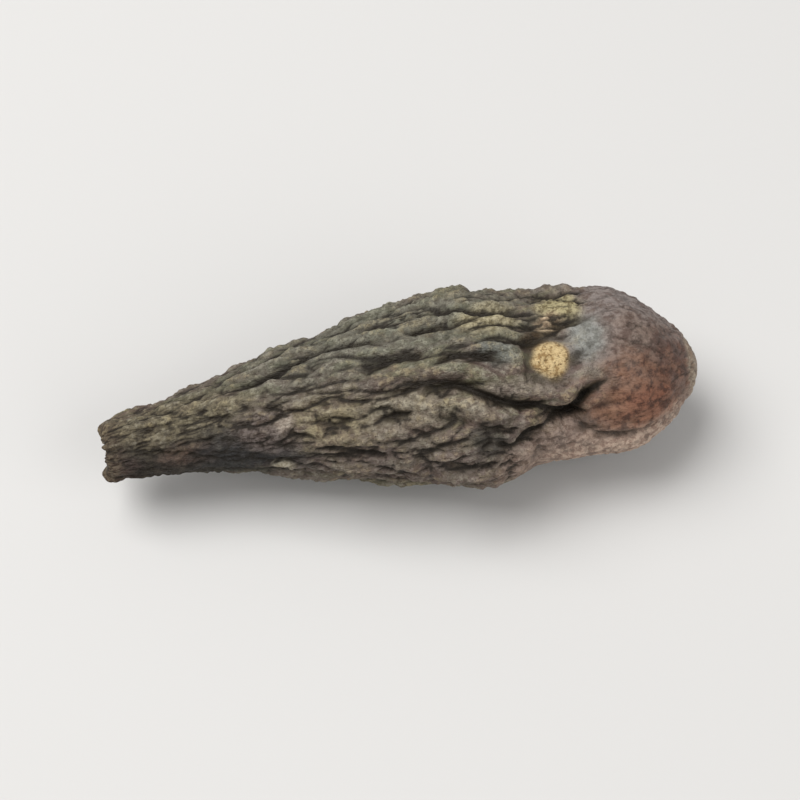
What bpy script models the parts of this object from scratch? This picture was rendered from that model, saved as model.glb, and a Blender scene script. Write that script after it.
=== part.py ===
"""A dried myrobalan fruit: a small club-shaped drupe, wrinkled lengthwise, lying on its side.

The stem end points along -X and the blunt apex along +X, and the fruit rests on the plane Z = 0.
The skin starts as a sphere. Each of its points is carried to the fruit in four steps: a turned
profile, a slightly squashed section, a bent centre line, and a relief of ribs, wrinkles and
creases that is raised from the surface along its normal.
"""

import itertools
import math

import bmesh
import bpy
import numpy as np

# Driving dimensions, in metres
LENGTH = 0.0280
BODY_RADIUS = 0.00472
HEIGHT_SHARE = 0.93
NECK_DROOP = 0.0006
REST_DEPTH = 0.00036

# The profile from the stem scar to the apex: share of LENGTH, share of BODY_RADIUS
PROFILE = (
    (0.013, 0.000),
    (0.004, 0.150),
    (0.000, 0.235),
    (0.015, 0.285),
    (0.070, 0.335),
    (0.160, 0.426),
    (0.250, 0.541),
    (0.360, 0.713),
    (0.480, 0.876),
    (0.600, 1.000),
    (0.655, 0.972),
    (0.710, 0.870),
    (0.800, 0.840),
    (0.865, 0.845),
    (0.905, 0.735),
    (0.942, 0.555),
    (0.970, 0.380),
    (0.990, 0.210),
    (1.000, 0.000),
)

# The bend of the centre line: share of LENGTH, metres towards +Y
SIDEWAYS = (
    (0.00, 0.00000),
    (0.20, 0.00050),
    (0.45, 0.00048),
    (0.62, 0.00032),
    (0.68, 0.00028),
    (0.76, 0.00045),
    (0.86, 0.00043),
    (0.94, 0.00022),
    (1.00, 0.00010),
)

# The section is a little uneven: size of a swelling, its lobes, where they lie, and their twist
LOBES = ((0.030, 2, 0.7, 0.0), (0.022, 3, -1.1, 2.0))

# How finely the skin is divided
AROUND = 100
ALONG = 59
CURVE_SAMPLES = 40
SCAR_REACH = 0.0022
SCAR_CROWDING = 1.2
LEAN_WIDTH = math.radians(62)

# Ribs and wrinkles: depth in metres, and the width and length of one fold in metres
RIBS = 5
RIB_DEPTH = 0.00036
RIB_WANDER = 0.30
RIB_PHASE = math.radians(14)
RIDGES = {"depth": 0.00072, "width": 0.00130, "length": 0.0052}
WRINKLES = {"depth": 0.00034, "width": 0.00080, "length": 0.0022}
KNOBS = {"depth": 0.00040, "width": 0.00135, "length": 0.0024}
WANDER = {"turn": 0.18, "width": 0.0026, "length": 0.0050}
UNEVEN = {"share": 0.55, "width": 0.0034, "length": 0.0060}
THINNING = 0.65
VALLEY_ROUNDING = 0.07
NECK_END = 0.24
NOISE_SEED = 41
NOISE_TABLE = 256

# Where short knobs stand in for long ridges, and where the skin is calm: share of LENGTH, degrees
KNOBBLY_PLACES = ((0.36, 137), (0.46, 290))
KNOBBLY_REACH = (0.0044, math.radians(42))
CALM_PLACES = ((0.38, 45), (0.31, 86), (0.49, 91), (0.67, 70), (0.60, 215))
CALM_REACH = (0.0042, math.radians(20))

# How much of the ridges is lost on the neck, among the knobs, beside a crease and in a calm place
NECK_LOSS = 0.45
KNOBBLY_LOSS = 0.45
CREASE_LOSS = 0.7
CALM_LOSS = 0.6
# How much of the wrinkles is lost on the neck, and how much of the knobs lies off it
WRINKLE_LOSS = 0.8
KNOBBLY_SHARE = 0.55

# The smooth cap starts further from the tip on one side: degrees, share of LENGTH
CAP_EDGE = (
    (0, 0.80),
    (60, 0.79),
    (84, 0.755),
    (107, 0.765),
    (128, 0.80),
    (145, 0.775),
    (153, 0.72),
    (161, 0.665),
    (175, 0.650),
    (205, 0.655),
    (230, 0.71),
    (265, 0.79),
    (360, 0.80),
)
CAP_WIDTH = 0.075
CAP_SMOOTHNESS = 0.76

# A round callus on the upper side, in a moat that is deeper on its far side
CALLUS_PLACE = (0.735, math.radians(107))
CALLUS_RADIUS = 0.00090
CALLUS_HEIGHT = 0.00022

# Where the fruit lies on the ground, its relief is worn down
REST_PLACE = 0.59
REST_REACH = (0.0046, math.radians(40))
REST_CALM = 0.85

# Creases that show from above: depth and half width in metres, the shares of its path over which
# it sets in and dies out, then the path as (share of LENGTH, degrees round the fruit from +Y
# towards +Z). A depth below 0 is a welt.
MAIN_CREASES = (
    (
        (0.00074, 0.00038, 0.40, 0.10),
        (
            (0.40, 116),
            (0.49, 115),
            (0.575, 114.5),
            (0.61, 121),
            (0.66, 129.5),
            (0.70, 135),
            (0.735, 141.5),
            (0.762, 150),
            (0.785, 161),
        ),
    ),
    (
        (0.00056, 0.00030, 0.10, 0.50),
        ((0.755, 149), (0.768, 141), (0.782, 134), (0.80, 129), (0.825, 124)),
    ),
    (
        (0.00046, 0.00030, 0.33, 0.08),
        ((0.585, 152), (0.625, 153), (0.65, 157), (0.68, 155), (0.71, 150), (0.735, 147.5), (0.76, 150)),
    ),
    (
        (0.00024, 0.00026, 0.15, 0.50),
        ((0.765, 152), (0.779, 160), (0.803, 168), (0.84, 171), (0.88, 169.5), (0.92, 168)),
    ),
    ((0.00024, 0.00026, 0.20, 0.40), ((0.704, 153), (0.702, 166), (0.708, 184))),
    ((0.00022, 0.00028, 0.25, 0.40), ((0.655, 158), (0.652, 172), (0.655, 196), (0.668, 214))),
    (
        (0.00060, 0.00034, 0.25, 0.33),
        (
            (0.19, 79),
            (0.243, 71),
            (0.266, 68),
            (0.30, 63),
            (0.337, 60),
            (0.376, 59.5),
            (0.412, 64),
            (0.45, 71),
            (0.50, 77),
        ),
    ),
    ((0.00034, 0.00028, 0.33, 0.33), ((0.20, 40), (0.26, 44), (0.32, 41))),
    ((0.00046, 0.00034, 0.30, 0.30), ((0.505, 73), (0.536, 71), (0.58, 67))),
    ((0.00050, 0.00034, 0.33, 0.33), ((0.53, 101), (0.575, 97), (0.61, 98), (0.65, 104), (0.68, 110))),
    ((0.00036, 0.00030, 0.33, 0.33), ((0.43, 132), (0.463, 131), (0.51, 129))),
    ((0.00034, 0.00030, 0.33, 0.33), ((0.29, 140), (0.317, 139), (0.35, 142))),
    ((0.00026, 0.00028, 0.33, 0.33), ((0.335, 128), (0.372, 133), (0.41, 130))),
    ((0.00042, 0.00034, 0.33, 0.33), ((0.35, 157), (0.38, 156), (0.44, 158), (0.49, 160))),
    ((0.00028, 0.00085, 0.30, 0.30), ((0.695, 165), (0.70, 190), (0.705, 215))),
    ((-0.00022, 0.00080, 0.33, 0.33), ((0.665, 188), (0.76, 185), (0.84, 183), (0.91, 180), (0.96, 174))),
)
# The same kind of creases over the rest of the skin, drawn at random
MINOR_CREASES = 22
MINOR_DEPTH = (0.00020, 0.00046)
MINOR_HALF_WIDTH = (0.00028, 0.00036)
MINOR_START = (0.14, 0.72)
MINOR_REACH = (0.10, 0.26)
MINOR_TURN = 12.0
MINOR_FADES = (0.33, 0.33)
CREASE_SEED = 7
SHOULDER = 0.22
CREASE_REACH = 2.0

# The skin's own finish
SKIN_COLOUR = (0.085, 0.072, 0.054, 1.0)
SKIN_ROUGHNESS = 0.72


def smooth_step(low, high, value):
    """0 below low, 1 above high, and a smooth climb between."""
    share = np.clip((value - low) / (high - low), 0.0, 1.0)
    return share * share * (3.0 - 2.0 * share)


def turn_between(theta, middle):
    """The shortest turn from middle to theta, between -pi and pi."""
    return (theta - middle + math.pi) % (2.0 * math.pi) - math.pi


def curve_through(points, samples):
    """A cubic from the second point to the last but one.

    Its tangents follow the line between each point's neighbours.
    """
    chords = np.linalg.norm(np.diff(points, axis=0), axis=1)
    share = np.linspace(0.0, 1.0, samples, endpoint=False)[:, None]
    runs = []
    for i in range(1, len(points) - 2):
        before, start, end, after = points[i - 1 : i + 3]
        leave = (end - before) / (chords[i - 1] + chords[i]) * chords[i]
        arrive = (after - start) / (chords[i] + chords[i + 1]) * chords[i]
        runs.append(
            (2 * share**3 - 3 * share**2 + 1) * start
            + (share**3 - 2 * share**2 + share) * leave
            + (3 * share**2 - 2 * share**3) * end
            + (share**3 - share**2) * arrive
        )
    return np.vstack([*runs, points[-2:-1]])


def bend(share):
    """How far the centre line lies towards +Y, at shares of LENGTH."""
    points = np.array(SIDEWAYS)
    ends = 2.0 * points[[0, -1]] - points[[1, -2]]
    along, side = curve_through(np.vstack([ends[:1], points, ends[1:]]), CURVE_SAMPLES).T
    return np.interp(share, along, side)


class Meridian:
    """The turned profile, walked from the stem scar to the apex by a share of its own length."""

    def __init__(self):
        points = np.array(PROFILE) * (LENGTH, BODY_RADIUS)
        mirror = np.array([1.0, -1.0])
        padded = np.vstack([points[1] * mirror, points, points[-2] * mirror])
        outline = curve_through(padded, CURVE_SAMPLES)
        steps = np.linalg.norm(np.diff(outline, axis=0), axis=1)
        run = np.concatenate([[0.0], np.cumsum(steps)])
        # Rings stand closer together on the scar and its rim
        crowd = 1.0 + SCAR_CROWDING * np.exp(-((run[1:] / SCAR_REACH) ** 2))
        walked = np.concatenate([[0.0], np.cumsum(steps * crowd)])
        self.share = walked / walked[-1]
        self.run = run
        self.x, self.radius = outline.T
        slope_x = np.gradient(self.x, run)
        slope_r = np.gradient(self.radius, run)
        size = np.hypot(slope_x, slope_r)
        self.normal_x = -slope_r / size
        self.normal_r = slope_x / size

    def at(self, share):
        """x, radius, and the normal's two parts, at each share of the walk."""
        columns = (self.x, self.radius, self.normal_x, self.normal_r)
        return [np.interp(share, self.share, column) for column in columns]


class Noise:
    """Smooth gradient noise in space, about -1 to 1, the same for every run."""

    def __init__(self, seed):
        draw = np.random.default_rng(seed)
        self.order = draw.permutation(NOISE_TABLE)
        slopes = draw.normal(size=(NOISE_TABLE, 3))
        self.slopes = slopes / np.linalg.norm(slopes, axis=1, keepdims=True)

    def __call__(self, points):
        cell = np.floor(points).astype(int)
        inside = points - cell
        ease = inside**3 * (inside * (inside * 6.0 - 15.0) + 10.0)
        total = np.zeros(len(points))
        for corner in itertools.product((0, 1), repeat=3):
            corner = np.array(corner)
            place = 0
            for axis in range(3):
                place = self.order[(place + cell[:, axis] + corner[axis]) % NOISE_TABLE]
            weight = np.prod(np.where(corner, ease, 1.0 - ease), axis=1)
            total += weight * np.sum(self.slopes[place] * (inside - corner), axis=1)
        return total * 1.6


def around_points(x, theta, radius, form):
    """Places for noise whose folds run from stem to apex: long along x, narrow round the skin.

    Where the fruit is thin the folds get thinner too, but less so, and some of them run out.
    """
    ring = BODY_RADIUS * (radius / BODY_RADIUS) ** THINNING / form["width"]
    return np.column_stack([x / form["length"], ring * np.cos(theta), ring * np.sin(theta)])


def folds(noise, x, theta, radius, form):
    """Rounded ridges with sharp valleys, about evenly above and below 0, in metres."""
    height = np.hypot(noise(around_points(x, theta, radius, form)), VALLEY_ROUNDING)
    return form["depth"] * (height - 0.25)


def near_places(x, theta, places, reach):
    """1 at any of the places, falling off as a bell to 0 well away from them."""
    total = np.zeros_like(x)
    for place, middle in places:
        off = (x - place * LENGTH) / reach[0]
        total = total + np.exp(-(off**2) - (turn_between(theta, math.radians(middle)) / reach[1]) ** 2)
    return np.clip(total, 0.0, 1.0)


def from_path(x, theta, radius, path):
    """How far each point is from a path, in metres, and how much of the path lies behind it.

    The skin is taken as flat about each point, and its nearest step of the path is found.
    """
    along, turn = np.array(path, float).T
    along, turn = along * LENGTH, np.radians(turn)
    steps = np.hypot(np.diff(along), np.diff(turn) * BODY_RADIUS)
    run = np.concatenate([[0.0], np.cumsum(steps)]) / steps.sum()
    nearest, passed = np.full_like(x, np.inf), np.zeros_like(x)
    for i in range(len(steps)):
        off, across = x - along[i], turn_between(theta, turn[i]) * radius
        step, swing = along[i + 1] - along[i], (turn[i + 1] - turn[i]) * radius
        share = np.clip((off * step + across * swing) / (step**2 + swing**2 + 1e-12), 0.0, 1.0)
        away = np.hypot(off - share * step, across - share * swing)
        passed = np.where(away < nearest, run[i] + share * (run[i + 1] - run[i]), passed)
        nearest = np.minimum(away, nearest)
    return nearest, passed


def creased(x, theta, radius, crease):
    """One crease: a sharp valley along its path, with low shoulders, fading out at both ends.

    It gives the crease's height, and a bell that is 1 at its bottom.
    """
    (depth, half_width, sets_in, dies_out), path = crease
    away, passed = from_path(x, theta, radius, path)
    away = away / half_width
    fade = smooth_step(0.0, sets_in, passed) * (1.0 - smooth_step(1.0 - dies_out, 1.0, passed))
    shoulder = SHOULDER * np.exp(-((away - 2.1) ** 2) / 0.6)
    height = depth * fade * (shoulder - np.exp(-(away**1.25)))
    return height, fade * np.exp(-((away / CREASE_REACH) ** 2))


def minor_creases():
    """Seeded creases of random place, length and slant, in the form of MAIN_CREASES."""
    draw = np.random.default_rng(CREASE_SEED)
    found = []
    for _ in range(MINOR_CREASES):
        start = draw.uniform(*MINOR_START)
        end = start + draw.uniform(*MINOR_REACH)
        turn = draw.uniform(0.0, 360.0)
        bends = turn + np.cumsum(draw.uniform(-MINOR_TURN, MINOR_TURN, 4))
        path = tuple(zip(np.linspace(start, end, 4), bends))
        found.append(((draw.uniform(*MINOR_DEPTH), draw.uniform(*MINOR_HALF_WIDTH), *MINOR_FADES), path))
    return found


def callus(x, theta, radius):
    """A low round button in a moat: its height, and 1 where the folds give way to it."""
    place, turn = CALLUS_PLACE
    off = (x - place * LENGTH) / CALLUS_RADIUS
    across = turn_between(theta, turn) * radius / CALLUS_RADIUS
    away = np.hypot(off, across)
    button = 1.0 - smooth_step(0.55, 1.15, away)
    far = np.clip(-(0.9 * across + 0.3 * off) / np.maximum(away, 0.1), 0.0, 1.0)
    moat = np.exp(-(((away - 1.45) / 0.35) ** 2)) * (0.30 + 0.90 * far)
    return CALLUS_HEIGHT * (button - moat), 1.0 - smooth_step(0.9, 1.8, away)


def rest_area(x, theta):
    """1 at the middle of the side that the fruit lies on, and 0 well away from it."""
    along, turn = REST_REACH
    from_below = turn_between(theta, -math.pi / 2.0)
    return np.exp(-(((x - REST_PLACE * LENGTH) / along) ** 2) - (from_below / turn) ** 2)


def cap_area(x, theta):
    """1 on the smooth cap round the tip, and 0 on the wrinkled body."""
    turn, start = np.array(CAP_EDGE).T
    edge = np.interp(np.degrees(theta) % 360.0, turn, start)
    return smooth_step(0.0, CAP_WIDTH, x / LENGTH - edge)


def neck_area(x):
    """1 on the thin neck, and 0 on the belly."""
    return 1.0 - smooth_step(NECK_END * 0.6, NECK_END * 1.5, x / LENGTH)


def fold_strength(x, theta, radius, noise, beside_creases):
    """How strong the long ridges are: uneven, and calmer on the neck, among knobs and by creases."""
    strength = 1.0 + UNEVEN["share"] * noise(around_points(x, theta, radius, UNEVEN) + 53.0)
    strength = strength * (1.0 - NECK_LOSS * neck_area(x))
    strength = strength * (1.0 - KNOBBLY_LOSS * near_places(x, theta, KNOBBLY_PLACES, KNOBBLY_REACH))
    strength = strength * (1.0 - CREASE_LOSS * beside_creases)
    return strength * (1.0 - CALM_LOSS * near_places(x, theta, CALM_PLACES, CALM_REACH))


def relief(x, theta, radius, noise):
    """Height of the skin over the plain body, in metres: ribs, ridges, wrinkles and creases."""
    share = x / LENGTH
    thickness = radius / BODY_RADIUS
    turned = theta + WANDER["turn"] * noise(around_points(x, theta, radius, WANDER) + 17.0)
    main = [creased(x, theta, radius, crease) for crease in MAIN_CREASES]
    minor = [creased(x, theta, radius, crease) for crease in minor_creases()]
    beside_creases = np.max([bell for _, bell in main], axis=0)

    rib_turn = theta + RIB_PHASE + RIB_WANDER * np.sin(2.0 * math.pi * share)
    ribs = RIB_DEPTH * (np.abs(np.sin(rib_turn * RIBS / 2.0)) - 0.6) * thickness
    ridges = folds(noise, x, turned, radius, RIDGES)
    ridges = ridges * fold_strength(x, theta, radius, noise, beside_creases)
    wrinkles = folds(noise, x, turned + 0.5, radius, WRINKLES) * (1.0 - WRINKLE_LOSS * neck_area(x))
    knobbly = KNOBBLY_SHARE * near_places(x, theta, KNOBBLY_PLACES, KNOBBLY_REACH)
    knobbed = np.maximum(neck_area(x), knobbly)
    knobs = folds(noise, x, theta + 1.9, radius, KNOBS) * knobbed
    height = ribs + (ridges + wrinkles) * thickness**0.5 + knobs
    on_cap = cap_area(x, theta)
    height = height * (1.0 - CAP_SMOOTHNESS * on_cap)

    height = height + sum(pressed for pressed, _ in main)
    height = height + sum(pressed for pressed, _ in minor) * (1.0 - on_cap)
    button, on_callus = callus(x, theta, radius)
    height = height * (1.0 - 0.8 * on_callus) + button
    # The relief dies out where all the folds meet, at the scar and at the tip
    height = height * smooth_step(0.02, 0.34, thickness)
    return height * (1.0 - REST_CALM * rest_area(x, theta))


def leaning(x, theta):
    """The turn of each point, with the lines of points swung to run along the deepest crease."""
    along, turn = np.array(MAIN_CREASES[0][1], float).T
    turn = np.radians(turn)
    swing = np.interp(x, along * LENGTH, turn - turn[0])
    away = turn_between(theta, turn[0])
    return theta + swing * np.exp(-((away / LEAN_WIDTH) ** 2))


def skin_points(share, theta):
    """The fruit's surface for each share of the walk from scar to apex and each turn round it."""
    meridian = Meridian()
    x, radius, normal_x, normal_r = meridian.at(share)
    theta = leaning(x, theta)
    noise = Noise(NOISE_SEED)
    height = relief(x, theta, np.maximum(radius, 1e-6), noise)
    out = radius + height * normal_r
    along = x + height * normal_x

    body = x / LENGTH
    lobes = 1.0 + sum(
        size * np.cos(count * theta + phase + twist * body) for size, count, phase, twist in LOBES
    )
    side = out * lobes * np.cos(theta) + bend(body)
    up = out * lobes * np.sin(theta) * HEIGHT_SHARE
    up = up - NECK_DROOP * (1.0 - smooth_step(0.0, 0.5, body))
    return np.column_stack([along, side, up])


def laid_down(points):
    """The fruit set on the surface: a flat spot under its belly, and its box centred on the origin."""
    floor = points[:, 2].min() + REST_DEPTH
    points[:, 2] = np.maximum(points[:, 2], floor) - floor
    middle = (points[:, :2].min(axis=0) + points[:, :2].max(axis=0)) / 2.0
    points[:, :2] -= middle
    return points


def make_fruit(collection):
    """The whole fruit as one closed skin, carried from a sphere with its poles at scar and apex."""
    form = bmesh.new()
    bmesh.ops.create_uvsphere(form, u_segments=AROUND, v_segments=ALONG, radius=1.0)
    start = np.array([vertex.co for vertex in form.verts])
    share = np.arccos(np.clip(-start[:, 2], -1.0, 1.0)) / math.pi
    theta = np.arctan2(start[:, 1], start[:, 0])
    for vertex, place in zip(form.verts, laid_down(skin_points(share, theta))):
        vertex.co = place
    # The shorter diagonals run along the folds, not across them
    bmesh.ops.triangulate(form, faces=form.faces, quad_method="SHORT_EDGE")
    bmesh.ops.recalc_face_normals(form, faces=form.faces)
    mesh = bpy.data.meshes.new("myrobalan_fruit")
    form.to_mesh(mesh)
    form.free()
    mesh.shade_smooth()
    fruit = bpy.data.objects.new("myrobalan_fruit", mesh)
    collection.objects.link(fruit)
    return fruit


def make_skin_material():
    """Dark, dull, dried fruit skin."""
    material = bpy.data.materials.new("dried_skin")
    material.use_nodes = True
    shader = material.node_tree.nodes["Principled BSDF"]
    shader.inputs["Base Color"].default_value = SKIN_COLOUR
    shader.inputs["Roughness"].default_value = SKIN_ROUGHNESS
    shader.inputs["Metallic"].default_value = 0.0
    return material


def main():
    for thing in list(bpy.data.objects):
        bpy.data.objects.remove(thing, do_unlink=True)
    collection = bpy.data.collections.new("myrobalan")
    bpy.context.scene.collection.children.link(collection)
    fruit = make_fruit(collection)
    fruit.data.materials.append(make_skin_material())


main()
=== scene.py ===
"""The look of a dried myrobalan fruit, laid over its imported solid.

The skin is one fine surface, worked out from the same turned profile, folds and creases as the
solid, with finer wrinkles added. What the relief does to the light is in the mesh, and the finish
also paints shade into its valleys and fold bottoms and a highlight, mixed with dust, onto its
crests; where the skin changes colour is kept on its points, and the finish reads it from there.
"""

from __future__ import annotations

import itertools
import logging
import math
from dataclasses import dataclass, field, replace
from enum import Enum
from functools import cached_property
from typing import Any

import bpy
import numpy as np
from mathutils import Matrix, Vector

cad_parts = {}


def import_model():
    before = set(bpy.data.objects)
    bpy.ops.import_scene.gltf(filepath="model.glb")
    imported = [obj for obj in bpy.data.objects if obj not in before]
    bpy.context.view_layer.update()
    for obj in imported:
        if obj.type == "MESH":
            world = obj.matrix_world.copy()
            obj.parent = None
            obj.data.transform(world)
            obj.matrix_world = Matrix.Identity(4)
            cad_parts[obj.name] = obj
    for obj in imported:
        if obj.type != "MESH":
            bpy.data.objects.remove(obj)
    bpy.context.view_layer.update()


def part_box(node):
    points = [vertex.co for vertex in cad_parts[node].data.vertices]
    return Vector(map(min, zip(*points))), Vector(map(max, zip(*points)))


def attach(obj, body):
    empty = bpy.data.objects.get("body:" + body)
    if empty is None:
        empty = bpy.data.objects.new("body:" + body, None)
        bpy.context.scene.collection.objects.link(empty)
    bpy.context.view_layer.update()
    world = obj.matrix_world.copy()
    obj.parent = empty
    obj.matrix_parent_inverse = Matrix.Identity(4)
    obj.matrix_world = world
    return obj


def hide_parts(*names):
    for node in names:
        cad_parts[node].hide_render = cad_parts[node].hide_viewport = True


log = logging.getLogger("myrobalan")

Colour = tuple[float, float, float]
Spot = tuple[float, float, float]
Pairs = tuple[tuple[float, float], ...]

# Least values in metres, or square metres, that keep a sum from dividing by 0.
LEAST_RADIUS = 1e-6
LEAST_RING = 1e-5
LEAST_SQUARE = 1e-12

# A crease this deep has its darkest painted shade line, and one this wide is a dip with none.
DARK_DEPTH = 0.0005
BROAD_HALF_WIDTH = 0.0005


def smooth_step(low: float, high: float, value: np.ndarray) -> np.ndarray:
    """Climb smoothly from 0 at low to 1 at high.

    Args:
        low: where the climb starts.
        high: where it ends.
        value: the places asked for.

    Returns:
        The climb at each place.
    """
    share = np.clip((value - low) / (high - low), 0.0, 1.0)
    return share * share * (3.0 - 2.0 * share)


def turn_between(theta: np.ndarray, middle: np.ndarray | float) -> np.ndarray:
    """Give the shortest turn from middle to theta, in radians, between -pi and pi."""
    return (theta - middle + math.pi) % (2.0 * math.pi) - math.pi


def curve_through(points: np.ndarray, samples: int) -> np.ndarray:
    """Run a cubic through points.

    Between two points it is the Hermite cubic whose end slopes follow the line between each
    point's neighbours.

    Args:
        points: the points, one row each, with one more before the first and after the last.
        samples: how many places are worked out between two points.

    Returns:
        The curve from the second point to the last but one.
    """
    chords = np.linalg.norm(np.diff(points, axis=0), axis=1)
    share = np.linspace(0.0, 1.0, samples, endpoint=False)[:, None]
    runs = []
    for i in range(1, len(points) - 2):
        before, start, end, after = points[i - 1 : i + 3]
        leave = (end - before) / (chords[i - 1] + chords[i]) * chords[i]
        arrive = (after - start) / (chords[i] + chords[i + 1]) * chords[i]
        runs.append(
            (2 * share**3 - 3 * share**2 + 1) * start
            + (share**3 - 2 * share**2 + share) * leave
            + (3 * share**2 - 2 * share**3) * end
            + (share**3 - share**2) * arrive
        )
    return np.vstack([*runs, points[-2:-1]])


@dataclass
class SpaceNoise:
    """Smooth seeded noise in space, about -1 to 1.

    Each corner of a grid of unit cubes has a slope drawn at random. The value at a point is the
    mix of what its eight corners' slopes give there, eased by a fifth-degree curve.
    """

    seed: int = 41
    table: int = 256
    gain: float = 1.6

    @cached_property
    def order(self) -> np.ndarray:
        """A shuffled order of the table, which picks a corner's slope."""
        return np.random.default_rng(self.seed).permutation(self.table)

    @cached_property
    def slopes(self) -> np.ndarray:
        """The slopes, as unit vectors."""
        draw = np.random.default_rng(self.seed)
        draw.permutation(self.table)
        slopes = draw.normal(size=(self.table, 3))
        return slopes / np.linalg.norm(slopes, axis=1, keepdims=True)

    def at(self, points: np.ndarray) -> np.ndarray:
        """Work out the noise.

        Args:
            points: places, one row each.

        Returns:
            The noise at each place.
        """
        cell = np.floor(points).astype(int)
        inside = points - cell
        ease = inside**3 * (inside * (inside * 6.0 - 15.0) + 10.0)
        total = np.zeros(len(points))
        for corner in itertools.product((0, 1), repeat=3):
            step = np.array(corner)
            place = np.zeros(len(points), int)
            for axis in range(3):
                place = self.order[(place + cell[:, axis] + step[axis]) % self.table]
            weight = np.prod(np.where(step, ease, 1.0 - ease), axis=1)
            total += weight * np.sum(self.slopes[place] * (inside - step), axis=1)
        return total * self.gain


@dataclass(frozen=True)
class Folds:
    """A kind of fold: its depth, and the width and length of one fold, in metres.

    Noise is laid in a space that is stretched along the fruit, and its size, without its sign,
    makes rounded ridges with sharp valleys between them. rounding blunts the valleys, and shift
    and offset read the noise elsewhere, so that no two kinds lie alike. line is how dark the thin
    line of painted shade along their bottoms is, and half its width in metres.
    """

    depth: float
    width: float
    length: float
    rounding: float = 0.05
    shift: float = 0.0
    offset: float = 0.0
    line: tuple[float, float] = (0.0, 0.0001)


@dataclass(frozen=True)
class Crease:
    """A sharp valley along a path of (share of the length, degrees round from +Y towards +Z).

    A depth below 0 makes it a welt that stands up instead. fades are the shares of the path over
    which it sets in and dies out.
    """

    depth: float
    half_width: float
    path: Pairs
    fades: tuple[float, float] = (0.33, 0.33)

    @property
    def darkness(self) -> float:
        """How dark the shade painted along its bottom line is: not at all on a welt or a broad dip."""
        if self.half_width >= BROAD_HALF_WIDTH:
            return 0.0
        return min(max(self.depth / DARK_DEPTH, 0.0), 1.0)


@dataclass(frozen=True)
class Patch:
    """A place on the skin with its own colours.

    Its place is a share of the length and a turn in degrees from +Y towards +Z; reach is half its
    length and half its width in metres. The stain is strewn over the colour in blots. soft is how
    wide its edge is, ragged how far the edge wanders, and the last field how much of the crests'
    dust and painted highlight lies on it.
    """

    name: str
    place: tuple[float, float]
    reach: tuple[float, float]
    colour: Colour
    stain: Colour
    strength: float = 0.9
    soft: float = 0.5
    ragged: float = 0.35
    blot: float = 0.0003
    dust_highlight: float = 1.0


MAIN_CREASES = (
    Crease(0.00074, 0.00038,
           ((0.4, 116), (0.49, 115), (0.575, 114.5), (0.61, 121), (0.66, 129.5), (0.7, 135),
            (0.735, 141.5), (0.762, 150), (0.785, 161)),
           (0.4, 0.1)),
    Crease(0.00056, 0.0003,
           ((0.755, 149), (0.768, 141), (0.782, 134), (0.8, 129), (0.825, 124)),
           (0.1, 0.5)),
    Crease(0.00046, 0.0003,
           ((0.585, 152), (0.625, 153), (0.65, 157), (0.68, 155), (0.71, 150), (0.735, 147.5),
            (0.76, 150)),
           (0.33, 0.08)),
    Crease(0.00024, 0.00026,
           ((0.765, 152), (0.779, 160), (0.803, 168), (0.84, 171), (0.88, 169.5), (0.92, 168)),
           (0.15, 0.5)),
    Crease(0.00024, 0.00026, ((0.704, 153), (0.702, 166), (0.708, 184)), (0.2, 0.4)),
    Crease(0.00022, 0.00028, ((0.655, 158), (0.652, 172), (0.655, 196), (0.668, 214)), (0.25, 0.4)),
    Crease(0.0006, 0.00034,
           ((0.19, 79), (0.243, 71), (0.266, 68), (0.3, 63), (0.337, 60), (0.376, 59.5), (0.412, 64),
            (0.45, 71), (0.5, 77)),
           (0.25, 0.33)),
    Crease(0.00034, 0.00028, ((0.2, 40), (0.26, 44), (0.32, 41))),
    Crease(0.00046, 0.00034, ((0.505, 73), (0.536, 71), (0.58, 67)), (0.3, 0.3)),
    Crease(0.0005, 0.00034, ((0.53, 101), (0.575, 97), (0.61, 98), (0.65, 104), (0.68, 110))),
    Crease(0.00036, 0.0003, ((0.43, 132), (0.463, 131), (0.51, 129))),
    Crease(0.00034, 0.0003, ((0.29, 140), (0.317, 139), (0.35, 142))),
    Crease(0.00026, 0.00028, ((0.335, 128), (0.372, 133), (0.41, 130))),
    Crease(0.00042, 0.00034, ((0.35, 157), (0.38, 156), (0.44, 158), (0.49, 160))),
    Crease(0.00028, 0.00085, ((0.695, 165), (0.7, 190), (0.705, 215)), (0.3, 0.3)),
    Crease(-0.0002, 0.0003, ((0.733, 73), (0.746, 72), (0.759, 71)), (0.4, 0.4)),
    Crease(0.0001, 0.0002, ((0.835, 98), (0.858, 99), (0.88, 103), (0.91, 105), (0.935, 110))),
    Crease(-0.00022, 0.0008, ((0.665, 188), (0.76, 185), (0.84, 183), (0.91, 180), (0.96, 174))),
)

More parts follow.
